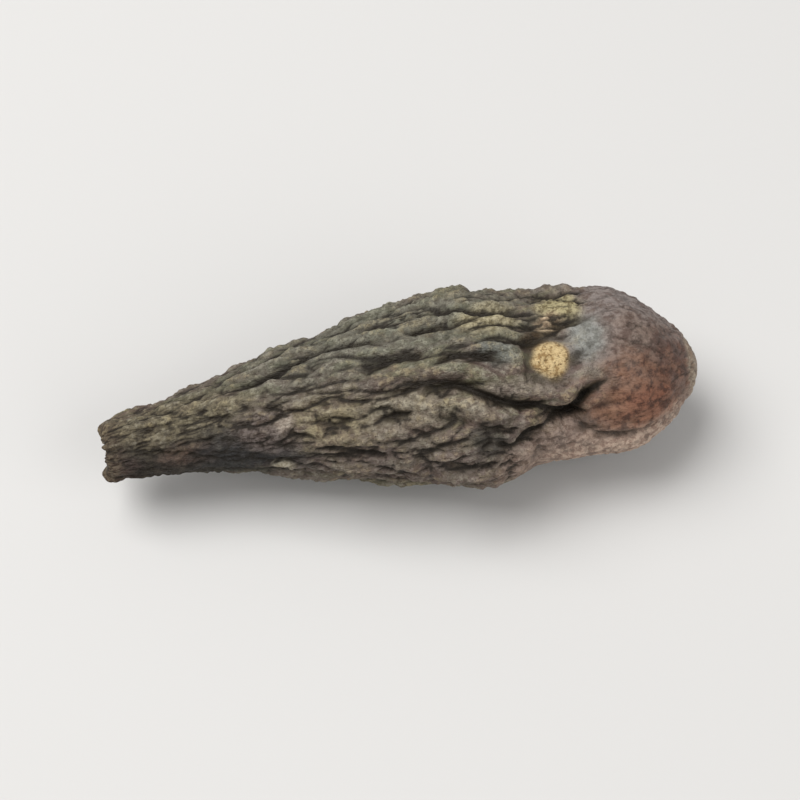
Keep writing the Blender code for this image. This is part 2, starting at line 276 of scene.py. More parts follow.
PATCHES = (
    Patch("lower_flank", (0.5, 168), (0.0085, 0.0026), (0.16, 0.126, 0.108), (0.096, 0.068, 0.054),
          0.72, 0.7, dust_highlight=0.55),
    Patch("upper_flank", (0.48, 58), (0.0085, 0.0034), (0.15, 0.15, 0.114), (0.08, 0.078, 0.056),
          0.75, 0.7, dust_highlight=0.75),
    Patch("neck_ochre", (0.1, 100), (0.004, 0.0015), (0.156, 0.13, 0.08), (0.07, 0.056, 0.034)),
    Patch("neck_under", (0.08, 186), (0.0042, 0.0019), (0.028, 0.022, 0.015), (0.018, 0.013, 0.009),
          0.95, dust_highlight=0.12),
    Patch("neck_rust", (0.14, 148), (0.0013, 0.0005), (0.1, 0.06, 0.045), (0.05, 0.03, 0.022),
          0.75, dust_highlight=0.4),
    Patch("neck_red", (0.01, 180), (0.0011, 0.0014), (0.045, 0.026, 0.021), (0.026, 0.016, 0.013),
          dust_highlight=0.2),
    Patch("charcoal", (0.24, 157), (0.0024, 0.0015), (0.024, 0.023, 0.023), (0.014, 0.014, 0.014),
          0.95, dust_highlight=0.08),
    Patch("pale_wart", (0.286, 177), (0.0005, 0.0005), (0.47, 0.42, 0.32), (0.28, 0.235, 0.16),
          0.95, 0.4, 0.3, dust_highlight=0.3),
    Patch("mid_mauve", (0.275, 131), (0.0016, 0.001), (0.15, 0.118, 0.104), (0.06, 0.04, 0.032), 0.8),
    Patch("mauve_run", (0.38, 112), (0.003, 0.0008), (0.15, 0.116, 0.098), (0.084, 0.06, 0.046),
          0.5, dust_highlight=0.7),
    Patch("tan_run", (0.52, 128), (0.0034, 0.0008), (0.26, 0.225, 0.165), (0.125, 0.102, 0.07), 0.65),
    Patch("ochre_run", (0.365, 128), (0.0017, 0.0011), (0.3, 0.252, 0.15), (0.085, 0.06, 0.034),
          0.65, 0.6, blot=0.0005, dust_highlight=0.7),
    Patch("pale_knob", (0.296, 127), (0.0004, 0.00036), (0.37, 0.312, 0.255), (0.215, 0.17, 0.135),
          0.9, 0.5, 0.3, dust_highlight=0.3),
    Patch("cap_mauve", (0.875, 74), (0.0036, 0.0046), (0.236, 0.198, 0.181), (0.13, 0.094, 0.08),
          0.92, blot=0.0006, dust_highlight=0.3),
    Patch("cap_brown", (0.9, 110), (0.0022, 0.002), (0.208, 0.146, 0.112), (0.094, 0.056, 0.042),
          0.85, 0.7, 0.5, blot=0.0006, dust_highlight=0.3),
    Patch("cap_maroon", (0.94, 120), (0.0011, 0.0016), (0.112, 0.06, 0.048), (0.066, 0.032, 0.026),
          0.75, 0.7, blot=0.0004, dust_highlight=0.2),
    Patch("cap_russet", (0.868, 147), (0.0025, 0.002), (0.232, 0.118, 0.07), (0.1, 0.037, 0.019),
          0.92, 0.7, 0.5, blot=0.0005, dust_highlight=0.3),
    Patch("cap_rust", (0.892, 147), (0.0012, 0.001), (0.215, 0.084, 0.048), (0.1, 0.034, 0.018),
          0.75, 0.7, 0.5, blot=0.0005, dust_highlight=0.1),
    # The lip's pale band along the lower rim: partly the skin's own pale colour, partly painted rim
    # light.
    Patch("lip_wide", (0.715, 184), (0.0026, 0.0024), (0.305, 0.226, 0.182), (0.168, 0.114, 0.088),
          0.92, 0.4, 0.25, dust_highlight=0.4),
    Patch("lip_thin", (0.85, 188), (0.004, 0.0014), (0.475, 0.356, 0.276), (0.255, 0.172, 0.13),
          0.95, 0.4, 0.25, dust_highlight=0.4),
    # Painted shade: thin dark lines along the creases above the lip.
    Patch("lip_line_near", (0.785, 161), (0.0006, 0.00024), (0.09, 0.056, 0.038), (0.042, 0.026, 0.016),
          0.85, 0.4, 0.2, dust_highlight=0.1),
    Patch("lip_line_far", (0.828, 170), (0.001, 0.00022), (0.1, 0.062, 0.042), (0.048, 0.03, 0.018),
          0.75, 0.4, 0.2, dust_highlight=0.1),
    Patch("bank", (0.69, 120), (0.0017, 0.0005), (0.25, 0.205, 0.168), (0.14, 0.11, 0.086),
          0.75, dust_highlight=0.6),
    Patch("blue_grey", (0.8, 92), (0.0009, 0.0013), (0.262, 0.266, 0.245), (0.16, 0.162, 0.144)),
    Patch("lip_shade", (0.62, 150), (0.0009, 0.0009), (0.05, 0.046, 0.038), (0.03, 0.027, 0.022),
          0.8, dust_highlight=0.3),
    Patch("blue_low", (0.64, 98), (0.0011, 0.0006), (0.135, 0.142, 0.13), (0.08, 0.08, 0.068), 0.8),
    Patch("ochre_high", (0.645, 69), (0.0013, 0.001), (0.4, 0.345, 0.215), (0.185, 0.152, 0.08),
          dust_highlight=0.5),
    Patch("ochre_tip", (0.772, 59), (0.001, 0.0012), (0.43, 0.37, 0.2), (0.13, 0.1, 0.042), dust_highlight=0.4),
    Patch("brown_above", (0.745, 83), (0.0008, 0.0004), (0.075, 0.054, 0.026), (0.045, 0.03, 0.014),
          dust_highlight=0.2),
    Patch("brown_moat", (0.712, 92), (0.0006, 0.0007), (0.05, 0.03, 0.013), (0.024, 0.014, 0.006),
          dust_highlight=0.1),
    Patch("cream_fleck", (0.752, 74), (0.00075, 0.00062), (0.62, 0.47, 0.31), (0.33, 0.225, 0.14),
          1.0, 0.3, 0.25, dust_highlight=0.0),
    Patch("callus", (0.735, 107), (0.00086, 0.00088), (0.6, 0.45, 0.235), (0.3, 0.19, 0.075),
          1.0, 0.2, 0.24, 0.00026, 0.0),
    # A pale rim at the apex's outline: partly the skin's own pale colour, partly painted rim light.
    Patch("tip", (0.985, 135), (0.00034, 0.0022), (0.42, 0.345, 0.255), (0.25, 0.185, 0.13),
          0.8, dust_highlight=0.2),
    Patch("back_mauve", (0.62, 300), (0.005, 0.0024), (0.13, 0.104, 0.088), (0.08, 0.058, 0.046),
          0.6, 0.7),
    Patch("back_olive", (0.42, 245), (0.006, 0.0026), (0.15, 0.146, 0.108), (0.09, 0.084, 0.056),
          0.6, 0.7),
    Patch("back_ochre", (0.7, 10), (0.0013, 0.0008), (0.32, 0.275, 0.155), (0.11, 0.084, 0.04)),
    Patch("side_ochre", (0.55, 335), (0.0011, 0.0007), (0.3, 0.25, 0.145), (0.11, 0.084, 0.04), 0.8),
)


@dataclass
class Meridian:
    """The turned profile, walked from the stem scar to the apex by a share of its own length."""

    length: float = 0.0280
    body_radius: float = 0.00472
    profile: Pairs = (
        (0.013, 0.0), (0.004, 0.15), (0.0, 0.235), (0.015, 0.285), (0.07, 0.335), (0.16, 0.426),
        (0.25, 0.541), (0.36, 0.713), (0.48, 0.876), (0.6, 1.0), (0.655, 0.972), (0.71, 0.87),
        (0.8, 0.84), (0.865, 0.845), (0.905, 0.735), (0.942, 0.555), (0.97, 0.38), (0.99, 0.21),
        (1.0, 0.0),
    )
    sideways: Pairs = (
        (0.0, 0.0), (0.2, 0.0005), (0.45, 0.00048), (0.62, 0.00032), (0.68, 0.00028), (0.76, 0.00045),
        (0.86, 0.00043), (0.94, 0.00022), (1.0, 0.0001),
    )
    samples: int = 40
    scar_reach: float = 0.0022
    scar_crowding: float = 1.2

    @cached_property
    def outline(self) -> np.ndarray:
        """A cubic through the profile's points, as rows of x and radius."""
        points = np.array(self.profile) * (self.length, self.body_radius)
        mirror = np.array([1.0, -1.0])
        return curve_through(np.vstack([points[1] * mirror, points, points[-2] * mirror]), self.samples)

    def bend(self, share: np.ndarray) -> np.ndarray:
        """Say how far the fruit's middle lies to the side, at shares of the length."""
        points = np.array(self.sideways)
        ends = 2.0 * points[[0, -1]] - points[[1, -2]]
        along, side = curve_through(np.vstack([ends[:1], points, ends[1:]]), self.samples).T
        return np.interp(share, along, side)

    def at(self, share: np.ndarray) -> tuple[np.ndarray, ...]:
        """Walk the outline.

        Args:
            share: shares of the walk, 0 at the middle of the scar and 1 at the apex. Steps are
                shorter over the scar and its rim.

        Returns:
            x, radius, and the two parts of the outward normal.
        """
        steps = np.linalg.norm(np.diff(self.outline, axis=0), axis=1)
        run = np.concatenate([[0.0], np.cumsum(steps)])
        crowd = 1.0 + self.scar_crowding * np.exp(-((run[1:] / self.scar_reach) ** 2))
        walked = np.concatenate([[0.0], np.cumsum(steps * crowd)])
        x, radius = self.outline.T
        slope_x, slope_r = np.gradient(x, run), np.gradient(radius, run)
        size = np.hypot(slope_x, slope_r)
        columns = (x, radius, -slope_r / size, slope_x / size)
        return tuple(np.interp(share, walked / walked[-1], column) for column in columns)


@dataclass
class SkinGrid:
    """The points of the skin: rings from scar to apex, with one point at each pole.

    x, theta and radius are flat arrays with the scar's pole first, then the rings one after
    another, then the apex's pole.
    """

    meridian: Meridian
    around: int = 334
    along: int = 299
    lean_width: float = math.radians(62)

    @cached_property
    def share(self) -> np.ndarray:
        """Each point's share of the walk from scar to apex."""
        rings = np.repeat(np.arange(1, self.along) / self.along, self.around)
        return np.concatenate([[0.0], rings, [1.0]])

    @cached_property
    def turn(self) -> np.ndarray:
        """Each point's turn round the fruit, before the leaning."""
        ring = (np.arange(self.around) / self.around * 2.0 - 1.0) * math.pi
        return np.concatenate([[0.0], np.tile(ring, self.along - 1), [0.0]])

    @cached_property
    def walk(self) -> tuple[np.ndarray, ...]:
        """x, radius and normal of each point."""
        return self.meridian.at(self.share)

    @cached_property
    def theta(self) -> np.ndarray:
        """The turn of each point, with the lines of points swung to run along the deepest crease."""
        along, turn = np.array(MAIN_CREASES[0].path, float).T
        turn = np.radians(turn)
        swing = np.interp(self.walk[0], along * self.meridian.length, turn - turn[0])
        away = turn_between(self.turn, turn[0])
        return self.turn + swing * np.exp(-((away / self.lean_width) ** 2))

    def blurred(self, values: np.ndarray, columns: int, rows: int) -> np.ndarray:
        """Average values over a window of the grid, twice, which comes near a round blur.

        Args:
            values: one value a point.
            columns: half the window's width, in points round the fruit.
            rows: half its height, in rings.

        Returns:
            The averages, in the same order.
        """
        grid = values[1:-1].reshape(self.along - 1, self.around)
        for _ in range(2):
            grid = sum(np.roll(grid, i, axis=1) for i in range(-columns, columns + 1))
            grid = grid / (2 * columns + 1)
            padded = np.pad(grid, ((rows, rows), (0, 0)), mode="edge")
            last = len(grid)
            grid = sum(padded[i : i + last] for i in range(2 * rows + 1)) / (2 * rows + 1)
        return np.concatenate([[grid[0].mean()], grid.ravel(), [grid[-1].mean()]])

    def slope(self, values: np.ndarray) -> np.ndarray:
        """Work out how steeply values change over the skin, per metre.

        Args:
            values: one value a point.

        Returns:
            The slope at each point, 0 at the poles.
        """
        shape = (self.along - 1, self.around)
        x, radius = (column[1:-1].reshape(shape) for column in self.walk[:2])
        grid = values[1:-1].reshape(shape)
        step = np.hypot(np.gradient(x, axis=0), np.gradient(radius, axis=0))
        width = np.maximum(radius, LEAST_RING) * 2.0 * math.pi / self.around
        across = (np.roll(grid, -1, axis=1) - np.roll(grid, 1, axis=1)) / (2.0 * width)
        steep = np.hypot(np.gradient(grid, axis=0) / step, across)
        return np.concatenate([[0.0], steep.ravel(), [0.0]])

    def faces(self) -> tuple[np.ndarray, np.ndarray]:
        """Join the points: four-sided faces between rings, and a fan of triangles at each pole.

        Returns:
            The quads and the triangles, as rows of point numbers, all facing outwards.
        """
        ring = np.arange(self.around)
        after = (ring + 1) % self.around
        row = 1 + np.arange(self.along - 2)[:, None] * self.around
        quads = np.stack(
            [row + ring, row + after, row + self.around + after, row + self.around + ring], -1
        ).reshape(-1, 4)
        last = 1 + (self.along - 2) * self.around
        apex = last + self.around
        first_fan = np.stack([np.zeros_like(ring), 1 + after, 1 + ring], -1)
        last_fan = np.stack([np.full_like(ring, apex), last + ring, last + after], -1)
        return quads[:, ::-1], np.vstack([first_fan[:, ::-1], last_fan[:, ::-1]])


class Zone(Enum):
    """Parts of the skin with their own texture."""

    CAP = "cap"
    NECK = "neck"
    SCAR = "scar"


class Trace(Enum):
    """What the relief leaves on each point for the finish to read."""

    # VALLEY and LINE say where the finish paints shade, and CREST where it lays dust and painted
    # highlight.
    VALLEY = "valley"
    LINE = "line"
    CREST = "crest"


@dataclass(frozen=True)
class Callus:
    """The round grainy callus: a low button in a moat that is deeper on its far side.

    Its place is a share of the length and a turn. What lies about it is measured in its radii.
    """

    place: tuple[float, float] = (0.735, math.radians(107))
    radius: float = 0.0009
    height: float = 0.00022
    rim: tuple[float, float] = (0.55, 1.15)
    moat_place: float = 1.45
    moat_spread: float = 0.35
    moat_depth: float = 0.3
    far_depth: float = 0.9
    far_side: tuple[float, float] = (0.3, 0.9)
    middle: float = 0.1
    clearing: tuple[float, float] = (0.9, 1.8)

    def shape(self, off: np.ndarray, across: np.ndarray) -> tuple[np.ndarray, np.ndarray, np.ndarray]:
        """Raise the button out of its moat.

        Args:
            off: how far along the fruit each point is from the callus, in metres.
            across: how far round it, in metres.

        Returns:
            The height in metres, the button's share, and 1 where the folds give way to it.
        """
        off, across = off / self.radius, across / self.radius
        away = np.hypot(off, across)
        button = 1.0 - smooth_step(*self.rim, away)
        far = self.far_side[1] * across + self.far_side[0] * off
        far = np.clip(-far / np.maximum(away, self.middle), 0.0, 1.0)
        moat = np.exp(-(((away - self.moat_place) / self.moat_spread) ** 2))
        moat = moat * (self.moat_depth + self.far_depth * far)
        return self.height * (button - moat), button, 1.0 - smooth_step(*self.clearing, away)


@dataclass(frozen=True)
class StemScar:
    """The broken stem end: torn fibres and lumps that fan out from a small pit.

    The noise is laid out by the turn and by the distance from the middle, so the fibres fan out.
    """

    fibres: Folds = Folds(0.00011, 0.00034, 0.0011, offset=5.0)
    crowding: float = 0.55
    fibre_mean: float = 0.2
    lump_height: float = 0.00022
    lump_scale: float = 0.4
    lump_offset: float = 11.0
    pit_depth: float = 0.00022
    pit_radius: float = 0.00024
    middle: tuple[float, float] = (0.00004, 0.0004)

    def height(
        self, noise: SpaceNoise, body_radius: float, radius: np.ndarray, theta: np.ndarray
    ) -> np.ndarray:
        """Roughen the stem end.

        Args:
            noise: the noise that tears it.
            body_radius: the body's largest radius.
            radius: each point's distance from the middle line.
            theta: its turn.

        Returns:
            Its height at each point, in metres.
        """
        ring = body_radius / self.fibres.width * self.crowding
        fan = np.column_stack(
            [radius / self.fibres.length, ring * np.cos(theta), ring * np.sin(theta)]
        )
        torn = self.fibres.depth * (np.abs(noise.at(fan + self.fibres.offset)) - self.fibre_mean)
        lumps = self.lump_height * noise.at(fan * self.lump_scale + self.lump_offset)
        pit = -self.pit_depth * np.exp(-((radius / self.pit_radius) ** 2))
        return (torn + lumps) * smooth_step(*self.middle, radius) + pit


@dataclass
class FruitSkin:
    """The whole outside of the fruit, from the broken stem end to the blunt tip.

    A loss is the share of some relief that is taken away in a place.
    """

    name: str = "fruit_skin"
    node: str = "myrobalan_fruit"
    slot: str = "dried_skin"
    meridian: Meridian = field(default_factory=Meridian)
    noise: SpaceNoise = field(default_factory=SpaceNoise)
    callus: Callus = Callus()
    scar: StemScar = StemScar()

    height_share: float = 0.93
    neck_droop: float = 0.0006
    droop_reach: float = 0.5
    rest_depth: float = 0.00036
    # Lobes of the section: how many, how high, their turn, and their twist along the fruit.
    lobes: tuple[tuple[float, ...], ...] = ((2, 0.03, 0.7, 0.0), (3, 0.022, -1.1, 2.0))

    ribs: int = 5
    rib_depth: float = 0.00036
    rib_wander: float = 0.3
    rib_phase: float = math.radians(14)
    rib_mean: float = 0.6
    ridges: Folds = Folds(0.00072, 0.0013, 0.0052, 0.04, line=(0.95, 0.0001))
    wrinkles: Folds = Folds(0.00034, 0.0008, 0.0022, 0.04, 0.5, line=(0.85, 0.00009))
    knobs: Folds = Folds(0.0004, 0.00135, 0.0024, 0.05, 1.9)
    crinkles: Folds = Folds(0.0003, 0.00046, 0.00095, 0.04, 3.1, line=(0.7, 0.00007))
    net: Folds = Folds(0.00018, 0.00026, 0.00036, 0.05, 4.7)
    warts: Folds = Folds(0.00022, 0.0005, 0.0006, 0.2, 6.3)
    cap_lines: Folds = Folds(0.00014, 0.0004, 0.001, 0.04, 8.9, line=(0.55, 0.00006))
    cap_net: Folds = Folds(0.00009, 0.00026, 0.00022, 0.04, 9.7)
    wander: Folds = Folds(0.18, 0.0026, 0.005, offset=17.0)
    uneven: Folds = Folds(0.55, 0.0034, 0.006, offset=53.0)
    patch_edge: Folds = Folds(1.0, 0.0007, 0.001, offset=31.0)
    grains: Folds = Folds(0.00022, 0.00036, 0.00036)
    fold_mean: float = 0.25
    thinning: float = 0.65
    ridge_thinning: float = 0.5
    fine_thinning: float = 0.3
    pole_fade: tuple[float, float] = (0.02, 0.34)

    neck_edge: tuple[float, float] = (0.144, 0.36)
    scar_edge: tuple[float, float] = (0.26, 0.33)
    scar_reach: tuple[float, float] = (0.02, 0.05)
    cap_edge: Pairs = (
        (0, 0.8), (60, 0.79), (84, 0.755), (107, 0.765), (128, 0.8), (145, 0.775), (153, 0.72),
        (161, 0.665), (175, 0.65), (205, 0.655), (230, 0.71), (265, 0.79), (360, 0.8),
    )
    cap_width: float = 0.075
    cap_smoothness: float = 0.76
    rest_place: float = 0.59
    rest_reach: tuple[float, float] = (0.0046, math.radians(40))
    rest_calm: float = 0.85
    knobbly_places: Pairs = ((0.36, 137), (0.46, 290))
    knobbly_reach: tuple[float, float] = (0.0044, math.radians(42))
    knobbly_share: float = 0.55
    calm_places: Pairs = ((0.38, 45), (0.31, 86), (0.49, 91), (0.67, 70), (0.6, 215))
    calm_reach: tuple[float, float] = (0.0042, math.radians(20))

    neck_loss: float = 0.45
    knobbly_loss: float = 0.45
    crease_loss: float = 0.7
    calm_loss: float = 0.6
    wrinkle_loss: float = 0.8
    crinkle_loss: float = 0.4
    fine_calm_loss: float = 0.45
    callus_loss: float = 0.8

    minor_creases: int = 22
    minor_depth: tuple[float, float] = (0.0002, 0.00046)
    minor_half_width: tuple[float, float] = (0.00028, 0.00036)
    minor_start: tuple[float, float] = (0.14, 0.72)
    minor_reach: tuple[float, float] = (0.1, 0.26)
    minor_turn: float = 12.0
    minor_bends: int = 4
    crease_seed: int = 7
    crease_reach: float = 2.0
    valley_power: float = 1.25
    line_power: int = 9
    shoulder: float = 0.22
    shoulder_place: float = 2.1
    shoulder_spread: float = 0.6

    # What counts as a full valley, bottom line or crest, in metres off the average about it.
    valley_depth: float = 0.00022
    line_depth: float = 0.00007
    crest_height: float = 0.00011
    fine_crest_height: float = 0.000025
    crest_share: float = 0.55
    level_line: tuple[float, float] = (0.35, 0.3)
    line_fade: tuple[float, float] = (0.02, 0.6)
    least_slope: float = 0.45
    wide_window: tuple[int, int] = (6, 5)
    near_window: tuple[int, int] = (2, 2)

    @cached_property
    def grid(self) -> SkinGrid:
        """The points that the skin is made of."""
        return SkinGrid(self.meridian)

    @property
    def thickness(self) -> np.ndarray:
        """Each point's share of the body's largest radius."""
        return np.maximum(self.grid.walk[1], LEAST_RADIUS) / self.meridian.body_radius

    @property
    def body_share(self) -> np.ndarray:
        """Each point's share of the length, from the stem end."""
        return self.grid.walk[0] / self.meridian.length

    def zone(self, zone: Zone) -> np.ndarray:
        """Say how far each point belongs to a zone.

        Args:
            zone: the part of the skin asked for.

        Returns:
            0 outside it to 1 inside it.
        """
        share = self.body_share
        if zone is Zone.CAP:
            turn, start = np.array(self.cap_edge).T
            edge = np.interp(np.degrees(self.grid.theta) % 360.0, turn, start)
            return smooth_step(0.0, self.cap_width, share - edge)
        if zone is Zone.NECK:
            return 1.0 - smooth_step(*self.neck_edge, share)
        on_face = 1.0 - smooth_step(*self.scar_edge, self.thickness)
        return on_face * (1.0 - smooth_step(*self.scar_reach, share))

    def away_from(self, place: float, turn: float) -> tuple[np.ndarray, np.ndarray]:
        """Measure the skin from one place on it.

        Args:
            place: its share of the length.
            turn: its turn, in radians.

        Returns:
            How far each point is from it along the fruit in metres, and round it in radians.
        """
        return self.grid.walk[0] - place * self.meridian.length, turn_between(self.grid.theta, turn)

    def places(self, theta: np.ndarray, folds: Folds) -> np.ndarray:
        """Lay the skin out for noise: long along the fruit and narrow round it.

        Where the fruit is thin the folds get thinner too, but less so, and some of them run out.

        Args:
            theta: the turn of each point.
            folds: the folds' width, length and offset.

        Returns:
            A place in the noise for each point.
        """
        ring = self.meridian.body_radius * self.thickness**self.thinning / folds.width
        along = self.grid.walk[0] / folds.length
        return np.column_stack([along, ring * np.cos(theta), ring * np.sin(theta)]) + folds.offset

    def near_places(self, places: Pairs, reach: tuple[float, float]) -> np.ndarray:
        """Say how near each point is to any of some places.

        Args:
            places: each one's share of the length, and its turn in degrees.
            reach: their reach along the fruit in metres, and round it in radians.

        Returns:
            1 at a place, falling off as a bell to 0 well away from it.
        """
        total = np.zeros_like(self.grid.share)
        for place, middle in places:
            off, across = self.away_from(place, math.radians(middle))
            total = total + np.exp(-((off / reach[0]) ** 2) - (across / reach[1]) ** 2)
        return np.clip(total, 0.0, 1.0)

    @cached_property
    def knobbly(self) -> np.ndarray:
        """1 in the places where short knobs stand in for long ridges, and 0 well away from them."""
        return self.near_places(self.knobbly_places, self.knobbly_reach)

    @cached_property
    def wandering(self) -> np.ndarray:
        """The turn of each point, pushed to and fro so that the long folds wander."""
        theta = self.grid.theta
        return theta + self.wander.depth * self.noise.at(self.places(theta, self.wander))

    def waves(self, folds: Folds, wandering: bool = True) -> np.ndarray:
        """Give the noise of some folds, whose valleys lie where it is 0."""
        theta = self.wandering if wandering else self.grid.theta
        return self.noise.at(self.places(theta + folds.shift, folds))

    def folded(self, folds: Folds, wandering: bool = True) -> np.ndarray:
        """Raise folds: the size of the noise, its valleys a little rounded, about 0 on average."""
        return folds.depth * (np.hypot(self.waves(folds, wandering), folds.rounding) - self.fold_mean)

    def creased(self, crease: Crease) -> tuple[np.ndarray, np.ndarray]:
        """Press in one crease: a sharp valley with low shoulders, fading out at both ends.

        The skin is taken as flat about each point, to find how far off the nearest step of the
        path is. That distance, in half widths, gives the valley as exp(-distance^1.25), and the
        shoulders as a bell about two half widths away.

        Args:
            crease: the crease.

        Returns:
            Its height at each point, in metres, and how near the point is to its bottom, as a
            bell that is crease_reach half widths wide.
        """
        x, radius, theta = self.grid.walk[0], self.grid.walk[1], self.grid.theta
        along, turn = np.array(crease.path, float).T
        along, turn = along * self.meridian.length, np.radians(turn)
        steps = np.hypot(np.diff(along), np.diff(turn) * self.meridian.body_radius)
        run = np.concatenate([[0.0], np.cumsum(steps)]) / steps.sum()
        nearest, passed = np.full_like(x, np.inf), np.zeros_like(x)
        for i in range(len(steps)):
            off, across = x - along[i], turn_between(theta, turn[i]) * radius
            step, swing = along[i + 1] - along[i], (turn[i + 1] - turn[i]) * radius
            square = step**2 + swing**2 + LEAST_SQUARE
            share = np.clip((off * step + across * swing) / square, 0.0, 1.0)
            away = np.hypot(off - share * step, across - share * swing)
            passed = np.where(away < nearest, run[i] + share * (run[i + 1] - run[i]), passed)
            nearest = np.minimum(away, nearest)
        away = nearest / crease.half_width
        fade = smooth_step(0.0, crease.fades[0], passed)
        fade = fade * (1.0 - smooth_step(1.0 - crease.fades[1], 1.0, passed))
        shoulders = np.exp(-((away - self.shoulder_place) ** 2) / self.shoulder_spread)
        valley = np.exp(-(away**self.valley_power))
        height = crease.depth * fade * (self.shoulder * shoulders - valley)
        return height, fade * np.exp(-((away / self.crease_reach) ** 2))

    @cached_property
    def pressed(self) -> tuple[np.ndarray, np.ndarray, np.ndarray]:
        """The creases' height, how deep in their bottoms points lie, and the main ones' bell."""
        height, bottoms, main = (np.zeros_like(self.grid.share) for _ in range(3))
        off_cap = 1.0 - self.zone(Zone.CAP)
        for number, crease in enumerate((*MAIN_CREASES, *self.seeded_creases())):
            share = 1.0 if number < len(MAIN_CREASES) else off_cap
            pressed, bell = self.creased(crease)
            height = height + share * pressed
            bottoms = np.maximum(bottoms, share * crease.darkness * bell**self.line_power)
            if number < len(MAIN_CREASES):
                main = np.maximum(main, bell)
        return height, bottoms, main

    def seeded_creases(self) -> list[Crease]:
        """Draw the minor creases, strewn over the whole skin."""
        draw = np.random.default_rng(self.crease_seed)
        found = []
        for _ in range(self.minor_creases):
            start = draw.uniform(*self.minor_start)
            end = start + draw.uniform(*self.minor_reach)
            turn = draw.uniform(0.0, 360.0)
            swings = draw.uniform(-self.minor_turn, self.minor_turn, self.minor_bends)
            path = tuple(zip(np.linspace(start, end, self.minor_bends), turn + np.cumsum(swings)))
            depth, half_width = draw.uniform(*self.minor_depth), draw.uniform(*self.minor_half_width)
            found.append(Crease(depth, half_width, path))
        return found

    @cached_property
    def callus_shape(self) -> tuple[np.ndarray, np.ndarray]:
        """The callus's height with its grains, and 1 where the folds give way to it."""
        off, turned = self.away_from(*self.callus.place)
        height, button, clear = self.callus.shape(off, turned * self.grid.walk[1])
        grains = self.grains.depth * np.abs(self.noise.at(self.places(self.grid.theta, self.grains)))
        return height - grains * button, clear

    def rest_area(self) -> np.ndarray:
        """1 at the middle of the side that the fruit lies on, and 0 well away from it."""
        off, across = self.away_from(self.rest_place, -math.pi / 2)
        return np.exp(-((off / self.rest_reach[0]) ** 2) - (across / self.rest_reach[1]) ** 2)

    @cached_property
    def relief(self) -> np.ndarray:
        """The height of the skin over the plain body, in metres.

        It is the sum of broad ribs, long ridges, wrinkles and a fine net, all calmer on the cap,
        with knobs and warts on the neck, and the creases pressed in last.
        """
        theta, thickness = self.grid.theta, self.thickness
        on_cap, on_neck = self.zone(Zone.CAP), self.zone(Zone.NECK)
        rib_turn = theta + self.rib_phase + self.rib_wander * np.sin(2 * math.pi * self.body_share)
        ribs = np.abs(np.sin(rib_turn * self.ribs / 2.0)) - self.rib_mean
        calm = self.near_places(self.calm_places, self.calm_reach)
        strength = 1.0 + self.uneven.depth * self.noise.at(self.places(theta, self.uneven))
        strength = strength * (1.0 - self.neck_loss * on_neck)
        strength = strength * (1.0 - self.knobbly_loss * self.knobbly)
        strength = strength * (1.0 - self.crease_loss * self.pressed[2])
        strength = strength * (1.0 - self.calm_loss * calm)
        ridges = self.folded(self.ridges) * strength
        ridges = ridges + self.folded(self.wrinkles) * (1.0 - self.wrinkle_loss * on_neck)
        knobs = self.folded(self.knobs, False) * np.maximum(on_neck, self.knobbly_share * self.knobbly)
        height = self.rib_depth * ribs * thickness + ridges * thickness**self.ridge_thinning + knobs

        fine = self.folded(self.crinkles) * (1.0 - self.crinkle_loss * on_neck)
        fine = fine + self.folded(self.net, False)
        fine = fine + self.folded(self.warts, False) * np.maximum(on_neck, self.knobbly)
        fine = fine * thickness**self.fine_thinning * (1.0 - self.fine_calm_loss * calm)
        height = (height + fine) * (1.0 - self.cap_smoothness * on_cap)
        height = height + (self.folded(self.cap_lines) + self.folded(self.cap_net, False)) * on_cap

        button, on_callus = self.callus_shape
        height = (height + self.pressed[0]) * (1.0 - self.callus_loss * on_callus) + button
        height = height * smooth_step(*self.pole_fade, thickness)
        scar = self.scar.height(self.noise, self.meridian.body_radius, self.grid.walk[1], theta)
        height = height + scar * self.zone(Zone.SCAR)
        return height * (1.0 - self.rest_calm * self.rest_area())

    def laid_down(self) -> np.ndarray:
        """Place the skin: the profile turned, squashed and bent, the relief along its normal.

        Returns:
            The points, with the flat spot under the belly.
        """
        x, radius, normal_x, normal_r = self.grid.walk
        theta, body = self.grid.theta, self.body_share
        lobes = np.ones_like(theta)
        for count, size, turn, twist in self.lobes:
            lobes = lobes + size * np.cos(count * theta + turn + twist * body)
        out = (radius + self.relief * normal_r) * lobes
        side = out * np.cos(theta) + self.meridian.bend(body)
        up = out * np.sin(theta) * self.height_share
        up = up - self.neck_droop * (1.0 - smooth_step(0.0, self.droop_reach, body))
        points = np.column_stack([x + self.relief * normal_x, side, up])
        floor = points[:, 2].min() + self.rest_depth
        points[:, 2] = np.maximum(points[:, 2], floor)
        return points

    def points(self) -> np.ndarray:
        """Fit the skin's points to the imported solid's box."""
        points = self.laid_down()
        low, high = (np.array(corner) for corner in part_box(self.node))
        least, most = points.min(axis=0), points.max(axis=0)
        return low + (points - least) * (high - low) / (most - least)

    def drawn(self, folds: Folds) -> np.ndarray:
        """Draw a thin line of painted shade along the bottoms of some folds.

        Args:
            folds: the folds, with their line's darkness and half width.

        Returns:
            The line's darkness on it, falling off as a bell of the distance from it. The distance
            is the folds' noise over its slope.
        """
        darkness, half_width = folds.line
        noise = self.waves(folds)
        slope = np.maximum(self.grid.slope(noise), self.least_slope / folds.width)
        return darkness * np.exp(-((noise / slope / half_width) ** 2))

    def fold_bottoms(self) -> np.ndarray:
        """Find where shade is painted along the bottoms of folds and creases: 0 off them to 1 on them.
        """
        on_cap = self.zone(Zone.CAP)
        off_cap = 1.0 - smooth_step(*self.line_fade, on_cap)
        lines = [off_cap * self.drawn(folds) for folds in (self.ridges, self.wrinkles, self.crinkles)]
        lines += [on_cap * self.drawn(self.cap_lines), self.pressed[1]]
        return np.max(lines, axis=0) * (1.0 - self.callus_shape[1])

